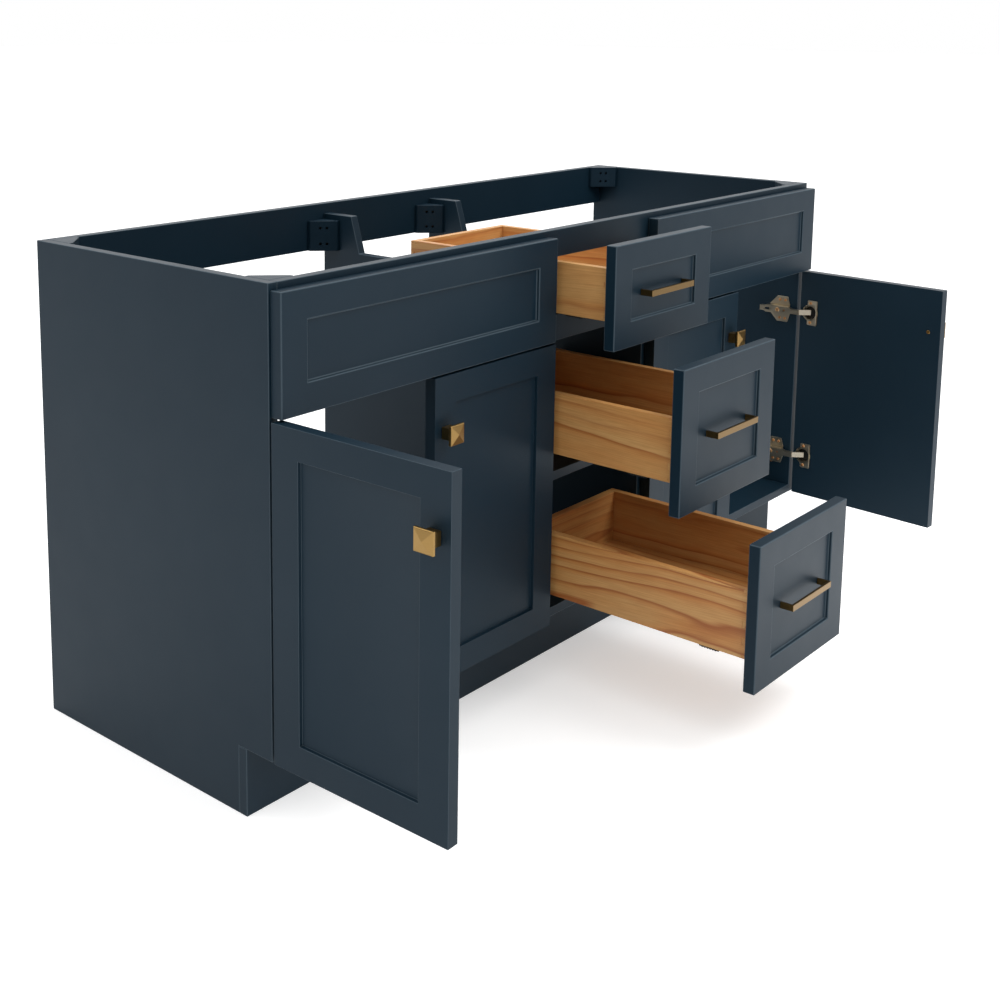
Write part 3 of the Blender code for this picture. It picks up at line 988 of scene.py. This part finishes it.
def hinge_cup(door_back):
    """The pressed cup and the flange that lies on the door's inner face; door_back is that face, in v."""
    face = door_back + STAND_OFF
    bowl = rod((CUP_U, face - CUP_DEPTH, 0), (CUP_U, face + FLANGE_THICKNESS, 0), CUP_RADIUS, segments=48)
    flange = slab(both_ways(FLANGE_OUTLINE), 0, FLANGE_THICKNESS)
    # The flange lies across v, so its outline's first direction turns to u.
    flange = turned(flange, Matrix(((0, 1, 0, 0), (1, 0, 0, 0), (0, 0, 1, 0), (0, 0, 0, 1))))
    bmesh.ops.translate(flange, vec=(0, face, 0), verts=flange.verts)
    mouth = rod((CUP_U, face - CUP_DEPTH + ARM_WALL, 0), (CUP_U, face + PAST_CUP, 0), CUP_MOUTH, segments=48)
    rim = block((RIM_U[0], face + FLANGE_THICKNESS, -RIM_W), (RIM_U[1], face + RIM_RISE, RIM_W))
    soften(rim, 0.0005)
    return together([carved(bowl, [mouth.copy()]), carved(flange, [mouth]), rim])


def cup_shade_liner(door_back):
    """The dark plastic floor of the cup, partly a real hinge part and partly a painted shade for its hollow."""
    floor = door_back + STAND_OFF - CUP_DEPTH + ARM_WALL
    return rod((CUP_U, floor, 0), (CUP_U, floor + LINER_THICKNESS, 0), CUP_MOUTH - 0.0002, segments=48)


def hinge_link(start, end, across):
    """A stamped link from the arm's nose to the cup, divided along its length."""
    across = Vector(across)
    length = (end - start).length
    bm = bmesh.new()
    bmesh.ops.create_cube(bm, size=1.0)
    bmesh.ops.scale(bm, vec=(LINK_WIDTH, LINK_THICKNESS, length), verts=bm.verts)
    soften(bm, LINK_ROUNDING)
    long = [e for e in bm.edges if e.calc_length() > length / 2]
    bmesh.ops.subdivide_edges(bm, edges=long, cuts=LINK_CUTS)
    way = (end - start).normalized()
    turn = Matrix((across, way.cross(across), way)).transposed().to_4x4()
    return turned(bm, Matrix.Translation((start + end) / 2) @ turn)


print("hinge cup", CUP_RADIUS * 2000, "mm across, link", LINK_WIDTH * 1000, "mm wide")

# %% [markdown]
# ## Placing the hinges
#
# The drawing is laid on each of the eight packed hinges, mirrored where the hinge is on the other hand. The
# cup and its flange also turn with their door, by the angle at which it stands open at rest, which the
# door's joint tells. The link runs from the arm's nose to a seat inside the cup and rides on no body.

# %% Placing the eight hinges
FRONT_GAP = 0.0015
NOSE_V = -0.0085
SEAT_INTO_CUP = 0.004
EAR_SCREW_U = 0.0235


def at_rest(door):
    """The turn from closed to where the door stands at rest, about its hinge line."""
    joint = JOINTS[f"{door}_door_hinge"]
    line = Matrix.Translation(joint["pos_m"])
    swing = Matrix.Rotation(-math.radians(joint["range_deg"][0]), 4, joint["axis"])
    return line @ swing @ line.inverted()


def door_edge(door):
    """Where the closed door's hinge edge is in X, and which way is inboard."""
    inboard = DOORS[door]
    pivot = JOINTS[f"{door}_door_hinge"]["pos_m"][0]
    return pivot - inboard * PIVOT_INBOARD[door.split("_")[1]], inboard


def place_hinge(door, spot):
    name = f"{door}_{spot}_hinge"
    low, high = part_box(f"{name}_arm")
    edge, inboard = door_edge(door)
    outside = low.x if inboard > 0 else high.x
    panel_face = abs(outside - edge) - STAND_OFF
    home = Matrix.Translation((edge, FRONT_PLANE, (low.z + high.z) / 2)) @ Matrix.Diagonal((inboard, 1, 1, 1))
    body, moving = BODY_OF[f"{name}_arm"], BODY_OF[f"{name}_cup"]
    arm = piece(f"{name}_arm_channel", turned(hinge_arm(), home), NICKEL, body)
    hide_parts(f"{name}_arm")
    piece(f"{name}_winged_plate", turned(winged_plate(panel_face), home), NICKEL, body)
    piece(f"{name}_arm_screws", turned(arm_screws(panel_face), home), COPPERY, body, smooth=True)
    on_door = at_rest(door) @ home
    steel = turned(hinge_cup(-FRONT_GAP), on_door)
    cup = piece(f"{name}_cup_steel", steel, NICKEL, moving, smooth=True)
    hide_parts(f"{name}_cup")
    # The dark floor is partly a painted shade for the cup's hollow.
    piece(f"{name}_cup_shade_liner", turned(cup_shade_liner(-FRONT_GAP), on_door), PLASTIC, moving)
    nose = home @ Vector((sum(ARM_U) / 2, NOSE_V, 0))
    seat = on_door @ Vector((CUP_U, -FRONT_GAP - SEAT_INTO_CUP, 0))
    link = piece(f"{name}_link", hinge_link(nose, seat, (0, 0, 1)), PRESSED, None)
    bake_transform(link)
    flange_top = -FRONT_GAP + STAND_OFF + FLANGE_THICKNESS
    ears = [
        screw_head((EAR_SCREW_U, flange_top, side * EAR_W), (0, 1, 0), HINGE_SCREW) for side in (-1, 1)
    ]
    piece(f"{name}_cup_screws", turned(together(ears), on_door), COPPERY, moving, smooth=True)


for door in DOORS:
    for spot in ("upper", "lower"):
        place_hinge(door, spot)
print("eight hinges placed")

# %% [markdown]
# ## Knob screws
#
# A knob is held by one machine screw through the door, and its head shows on the inner face, opposite the
# knob.

# %% Screws behind the knobs
DOOR_WIDTH = 0.300
KNOB_FROM_EDGE = 0.024
KNOB_SCREW_RADIUS = 0.0036
for door in DOORS:
    edge, inboard = door_edge(door)
    low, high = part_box(f"{door}_knob")
    place = (edge + inboard * (DOOR_WIDTH - KNOB_FROM_EDGE), FRONT_PLANE - FRONT_GAP, (low.z + high.z) / 2)
    head = turned(screw_head(place, (0, 1, 0), KNOB_SCREW_RADIUS), at_rest(door))
    piece(f"{door}_knob_screw", head, BRASS, BODY_OF[f"{door}_door"], smooth=True)
print("a screw behind each of", len(DOORS), "knobs")

# %% [markdown]
# ## A spare screw
#
# One small screw head shows low on the inner face of the right side, where nothing is fixed. It is the same
# head again, facing into the cabinet.

# %% A spare screw in the right side
SPARE_Y, SPARE_Z, SPARE_RADIUS = -0.471, 0.161, 0.0028
inner_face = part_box("right_side_panel")[0].x
spare = screw_head((inner_face, SPARE_Y, SPARE_Z), (-1, 0, 0), SPARE_RADIUS)
piece("right_side_spare_screw", spare, COPPERY, "carcass", smooth=True)
print("spare screw at X", round(inner_face, 4))

# %% [markdown]
# ## Corner blocks
#
# A carcass without a top is kept square by triangular blocks glued and screwed into its corners. Each has a
# long diagonal face with two rows of deep screw holes. The outline is a triangle with its two sharp tips
# cut off, made as tall as the block, and the holes are carved square to the diagonal.

# %% Corner blocks
BLOCK_TIP = 0.006
HOLE_RADIUS = 0.0026
HOLE_DEPTH = 0.009
HOLE_SPREAD = 0.006
HOLE_INSET = 0.0130
SUNK_HEAD_SHARE = 0.9
BLOCK_ARRIS = 0.0008
BELOW_PARTITION_TOP = 0.010


def corner_block(name, corner, way_x, way_y, legs, height):
    """A block with its square corner at a point, its legs along way_x and way_y, and its top at that height."""
    along_x, along_y = legs
    outline = ((0, 0), (along_x, 0), (along_x, BLOCK_TIP), (BLOCK_TIP, along_y), (0, along_y))
    bm = plate(outline, height)
    soften(bm, BLOCK_ARRIS)
    start, end = Vector((along_x, BLOCK_TIP, 0)), Vector((BLOCK_TIP, along_y, 0))
    slant = (end - start).normalized()
    inward = Vector((-slant.y, slant.x, 0))
    inward = inward if inward.dot(start) < 0 else -inward
    heads = []
    for across in (-HOLE_SPREAD, HOLE_SPREAD):
        for up in (HOLE_INSET, height - HOLE_INSET):
            mouth = (start + end) / 2 + slant * across + Vector((0, 0, up))
            foot = mouth + inward * HOLE_DEPTH
            bm = carved(bm, [rod(mouth - inward * HOLE_DEPTH, foot, HOLE_RADIUS, 16)])
            heads.append(screw_head(foot, -inward, HOLE_RADIUS * SUNK_HEAD_SHARE))
    home = Matrix.Translation(Vector(corner) - Vector((0, 0, height))) @ Matrix.Diagonal((way_x, way_y, 1, 1))
    piece(f"{name}_corner_block", turned(bm, home), PAINT, "carcass")
    # The sunk screws are painted near black, a painted shade for their deep holes.
    piece(f"{name}_corner_block_screws", turned(together(heads), home), SHADED_SCREW_STEEL, "carcass", smooth=True)


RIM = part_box("left_side_panel")[1].z
BACK_RAIL_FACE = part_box("back_top_rail")[0].y
FRONT_RAIL_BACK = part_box("front_top_rail")[1].y
SIDE_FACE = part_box("left_side_panel")[1].x
BLOCK_LEGS, BLOCK_HEIGHT = (0.042, 0.040), 0.055
CORNER_LEGS, CORNER_HEIGHT = (0.046, 0.045), 0.044
for hand, side in (("left", -1), ("right", 1)):
    low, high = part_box(f"{hand}_partition")
    near, far = sorted((abs(low.x), abs(high.x)))
    for face, x, way in (("outer", far, 1), ("inner", near, -1)):
        corner = (side * x, BACK_RAIL_FACE, high.z - BELOW_PARTITION_TOP)
        corner_block(f"{hand}_partition_{face}", corner, side * way, -1, BLOCK_LEGS, BLOCK_HEIGHT)
    for place, y, way in (("back", BACK_RAIL_FACE, -1), ("front", FRONT_RAIL_BACK, 1)):
        corner = (side * abs(SIDE_FACE), y, RIM)
        corner_block(f"{hand}_{place}", corner, -side, way, CORNER_LEGS, CORNER_HEIGHT)
print("eight corner blocks")

# %% [markdown]
# ## Drawer runners
#
# Each drawer hangs on a pair of concealed runners. A zinc channel is fixed to the partition, a slider moves
# in it at half the drawer's speed, and an inner runner is fixed in the hollow under the drawer floor. A
# plastic clip near the front locks the drawer to it, and its lever peeps out below the drawer side.

# %% Runners and sliders
RUNNER_ARRIS = 0.0003
for node in [n for n in NODES if n.endswith(("_runner", "_slider"))]:
    bm = node_copy(node)
    soften(bm, RUNNER_ARRIS)
    obj = piece(f"{node}_zinc", bm, ZINC, BODY_OF[node])
    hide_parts(node)

print("six runners and six sliders are zinc plated")

# %% [markdown]
# ## Under the drawers
#
# The inner runner is a shallow channel, a block with its hollow carved out. The clip is a thin web against
# it, with a flat lever that has a row of small teeth as a grip. All are made on the right and mirrored to
# the left.

# %% Inner runners and clips
INNER_RUNNER_X = (0.0895, 0.1165)
INNER_RUNNER_RISE = (0.0065, 0.0125)
INNER_RUNNER_WALL = 0.0012
FRONT_PLAY, BACK_PLAY, PAST_RUNNER = 0.001, 0.012, 0.01
CLIP_START, CLIP_LENGTH, CLIP_RISE = 0.045, 0.048, 0.012
CLIP_WEB_X, LEVER_X, TOOTH_X = (0.1155, 0.1168), (0.1160, 0.1285), (0.1285, 0.1296)
LEVER_DROP, LEVER_ARRIS = 0.0028, 0.0006
TEETH, TOOTH_PITCH, TOOTH_LENGTH = 6, 0.0045, 0.0022


def inner_runner(low, high, side):
    """A shallow channel, open below, in the hollow under the floor."""
    a, b = INNER_RUNNER_X
    bottom, top = (low.z + rise for rise in INNER_RUNNER_RISE)
    start, end = low.y + WALL + FRONT_PLAY, high.y - BACK_PLAY
    bm = block((a, start, bottom), (b, end, top))
    hollow = block(
        (a + INNER_RUNNER_WALL, start - PAST_RUNNER, bottom - PAST_RUNNER),
        (b - INNER_RUNNER_WALL, end + PAST_RUNNER, top - INNER_RUNNER_WALL),
    )
    bm = carved(bm, [hollow])
    soften(bm, RUNNER_ARRIS)
    return turned(bm, Matrix.Diagonal((side, 1, 1, 1)))


def front_clip(low, side):
    """A body beside the inner runner, and a toothed lever that shows under the drawer side."""
    start = low.y + CLIP_START
    end = start + CLIP_LENGTH
    foot = low.z - LEVER_DROP
    web = block((CLIP_WEB_X[0], start, foot), (CLIP_WEB_X[1], end, low.z + CLIP_RISE))
    lever = block((LEVER_X[0], start + 0.006, foot), (LEVER_X[1], end - 0.008, low.z - 0.0004))
    soften(lever, LEVER_ARRIS)
    teeth = []
    for i in range(TEETH):
        y = start + 0.010 + TOOTH_PITCH * i
        teeth.append(block((TOOTH_X[0], y, foot), (TOOTH_X[1], y + TOOTH_LENGTH, low.z - 0.0006)))
    return turned(together([web, lever] + teeth), Matrix.Diagonal((side, 1, 1, 1)))


for name in DRAWERS:
    low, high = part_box(f"{name}_drawer_box")
    body = BODY_OF[f"{name}_drawer_box"]
    for hand, side in (("left", -1), ("right", 1)):
        piece(f"{name}_drawer_{hand}_inner_runner", inner_runner(low, high, side), ZINC, body)
        piece(f"{name}_drawer_{hand}_clip", front_clip(low, side), PLASTIC, body)
print("six inner runners and six clips")
